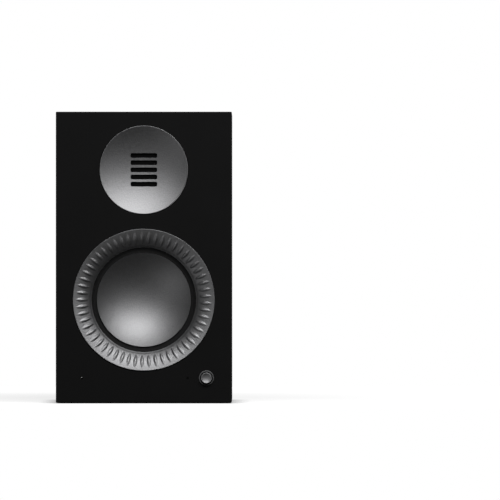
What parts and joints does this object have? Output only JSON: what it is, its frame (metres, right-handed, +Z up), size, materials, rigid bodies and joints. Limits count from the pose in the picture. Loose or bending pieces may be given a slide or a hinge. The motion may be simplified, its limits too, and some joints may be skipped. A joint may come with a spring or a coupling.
{
  "type": "active bookshelf speaker",
  "caption": "Active two-way bookshelf speaker with a ribbed woofer trim ring, a dished folded-ribbon tweeter plate, a turn-and-push knob and an amplifier panel at the back.",
  "frame": {"origin": "bottom centre of the whole speaker's box: the feet stand on z = 0, and x = 0 is the cabinet's middle plane", "axes": "+Z up, -Y the way the front faces, +X to the right as seen from the front"},
  "size_m": [0.176, 0.2314, 0.2917],
  "materials": {
    "cabinet_black": "matte black lacquer on fibreboard",
    "fibreboard": "raw fibreboard",
    "felt": "needled felt",
    "foot_rubber": "matte",
    "basket_metal": "black powder coat",
    "black_steel": "black oxide",
    "silver_trim": "dark silver satin paint",
    "cone_silver": "dark silver satin paint",
    "surround_rubber": "matte",
    "former_film": "heat-resistant film",
    "copper": "enamelled copper wire",
    "spider_cloth": "resin-stiffened cloth",
    "plated_steel": "zinc plated",
    "ferrite": "sintered",
    "terminal_metal": "tinned tags on a strip",
    "mesh_black": "open black cloth",
    "moulded_black": "fine-grained moulding",
    "pole_steel": "black zinc",
    "film_metal": "aluminium tracks on film",
    "knob_metal": "turned and anodised",
    "bezel_metal": "satin anodised",
    "steel": "plain",
    "plunger_plastic": "plain",
    "board_green": "solder-resist with parts",
    "fixing_metal": "plain",
    "lens_smoke": "smoked clear",
    "ir_dark": "infra-red dark",
    "panel_black": "black anodised",
    "sink_black": "black anodised",
    "gold_plate": "gold plated",
    "core_white": "moulded",
    "red_plastic": "moulded",
    "usb_metal": "nickel plated",
    "cap_black": "moulded",
    "pin_metal": "nickel plated",
    "rocker_black": "semi-gloss",
    "wire_red": "insulation"
  },
  "bodies": {
    "cabinet": {"front_baffle": "cabinet_black", "top_panel": "cabinet_black", "bottom_panel": "cabinet_black", "left_panel": "cabinet_black", "right_panel": "cabinet_black", "back_panel": "cabinet_black", "brace": "fibreboard", "damping_felt": "felt", "feet": "foot_rubber", "woofer_basket": "basket_metal", "woofer_screws": "black_steel", "tweeter_screws": "black_steel", "amp_screws": "black_steel", "trim_ring": "silver_trim", "tweeter_faceplate": "silver_trim", "surround": "surround_rubber", "spider": "spider_cloth", "top_plate": "plated_steel", "pole_piece": "plated_steel", "amt_magnets": "plated_steel", "magnet": "ferrite", "woofer_terminal": "terminal_metal", "tweeter_mesh": "mesh_black", "tweeter_mount": "moulded_black", "tweeter_cup": "moulded_black", "amt_frame": "moulded_black", "amp_tub": "moulded_black", "encoder_body": "moulded_black", "port_tube": "moulded_black", "post_base": "moulded_black", "mains_inlet": "moulded_black", "switch_body": "moulded_black", "amt_front_pole": "pole_steel", "amt_rear_pole": "pole_steel", "amt_diaphragm": "film_metal", "knob_bezel": "bezel_metal", "control_board": "board_green", "ir_board": "board_green", "amp_board": "board_green", "board_fixings": "fixing_metal", "status_lens": "lens_smoke", "ir_window": "ir_dark", "amp_plate": "panel_black", "heatsink": "sink_black", "rca_barrels": "gold_plate", "binding_studs": "gold_plate", "rca_core_white": "core_white", "rca_core_red": "red_plastic", "usb_socket": "usb_metal", "inlet_pins": "pin_metal", "speaker_wires": "wire_red"},
    "cone_assembly": {"cone": "cone_silver", "coil_former": "former_film", "voice_coil": "copper"},
    "knob_carrier": {"switch_plunger": "plunger_plastic"},
    "knob": {"volume_knob": "knob_metal", "encoder_shaft": "steel"},
    "cap_red": {"post_cap_red": "red_plastic"},
    "cap_black": {"post_cap_black": "cap_black"},
    "rocker": {"power_rocker": "rocker_black"}
  },
  "joints": [
    {"name": "cone_excursion", "type": "slide", "parent": "cabinet", "child": "cone_assembly", "axis": [0, -1, 0], "range_m": [-0.0035, 0.0035], "stiffness_N_per_m": 1000, "deforming": ["surround", "spider"]},
    {"name": "knob_push", "type": "slide", "parent": "cabinet", "child": "knob_carrier", "axis": [0, 1, 0], "range_m": [0, 0.0006], "stiffness_N_per_m": 1500, "springref_m": -0.001},
    {"name": "knob_turn", "type": "hinge", "parent": "knob_carrier", "child": "knob", "pos_m": [0.0626, -0.1103, 0.0254], "axis": [0, 1, 0], "continuous": true},
    {"name": "cap_red_turn", "type": "hinge", "parent": "cabinet", "child": "cap_red", "pos_m": [-0.046, 0.1017, 0.112], "axis": [0, 1, 0], "continuous": true},
    {"name": "cap_black_turn", "type": "hinge", "parent": "cabinet", "child": "cap_black", "pos_m": [-0.02695, 0.1017, 0.112], "axis": [0, 1, 0], "continuous": true},
    {"name": "power_rocker_tilt", "type": "hinge", "parent": "cabinet", "child": "rocker", "pos_m": [0.03, 0.0997, 0.046], "axis": [-1, 0, 0], "range_deg": [0, 16]}
  ]
}
